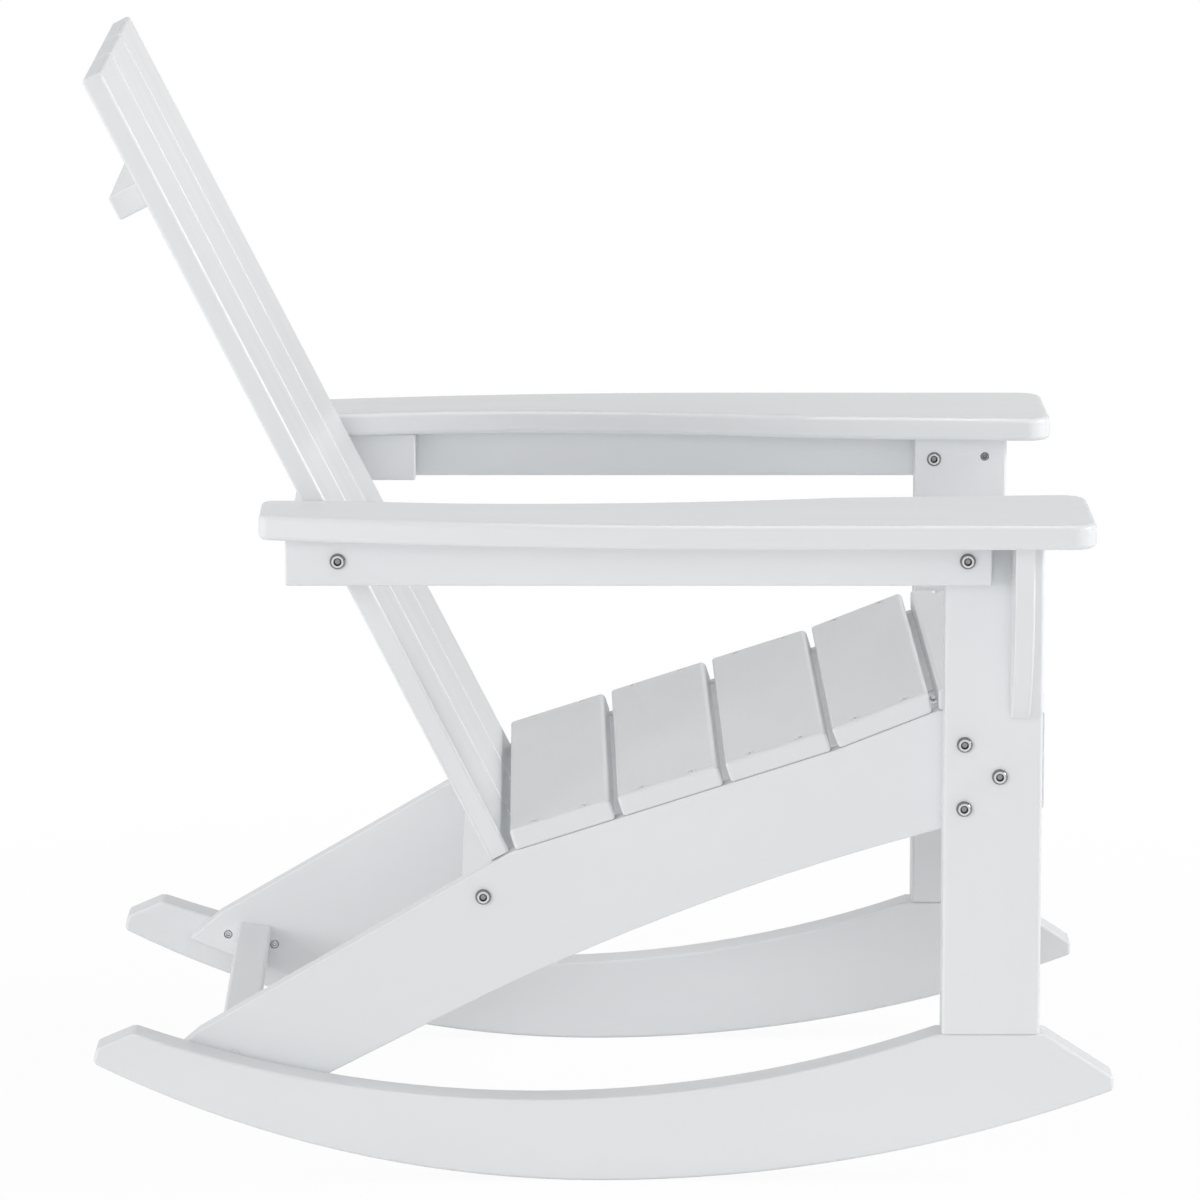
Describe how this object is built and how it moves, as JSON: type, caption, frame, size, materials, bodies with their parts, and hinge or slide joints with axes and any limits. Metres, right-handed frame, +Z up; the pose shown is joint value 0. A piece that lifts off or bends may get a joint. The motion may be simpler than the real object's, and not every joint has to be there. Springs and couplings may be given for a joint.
{
  "type": "rocking adirondack chair",
  "caption": "Rocking garden chair of white plastic lumber: slatted scooped seat, raked three-board back, wide flat arms on rails, and curved rockers.",
  "frame": {"origin": "on the floor under the middle of the chair's bounding box", "axes": "+Z up, -Y the way the sitter faces, +X the sitter's left"},
  "size_m": [0.762, 0.8664, 0.937],
  "materials": {
    "lumber": "white plastic lumber, satin, with eased edges",
    "steel": "plain stainless steel"
  },
  "bodies": {
    "root": {"rocker_right": "lumber", "rocker_left": "lumber", "front_leg_right": "lumber", "front_leg_left": "lumber", "seat_stringer_right": "lumber", "seat_stringer_left": "lumber", "seat_slat_1": "lumber", "seat_slat_2": "lumber", "seat_slat_3": "lumber", "seat_slat_4": "lumber", "seat_slat_5": "lumber", "front_apron": "lumber", "rear_stretcher": "lumber", "back_slat_right": "lumber", "back_slat_middle": "lumber", "back_slat_left": "lumber", "back_brace_upper": "lumber", "back_brace_middle": "lumber", "back_brace_lower": "lumber", "arm_rail_right": "lumber", "arm_rail_left": "lumber", "arm_right": "lumber", "arm_left": "lumber", "arm_bracket_right": "lumber", "arm_bracket_left": "lumber", "brace_block_right": "lumber", "brace_block_left": "lumber", "leg_bolts": "steel", "leg_nuts": "steel", "rail_bolts": "steel", "rail_nuts": "steel", "lower_brace_bolts": "steel", "seat_screws": "steel", "back_screws": "steel", "tail_screws": "steel", "bracket_screws": "steel", "block_screws": "steel", "arm_screws": "steel", "apron_screws": "steel", "stretcher_screws": "steel", "foot_dowels": "steel"}
  },
  "joints": []
}
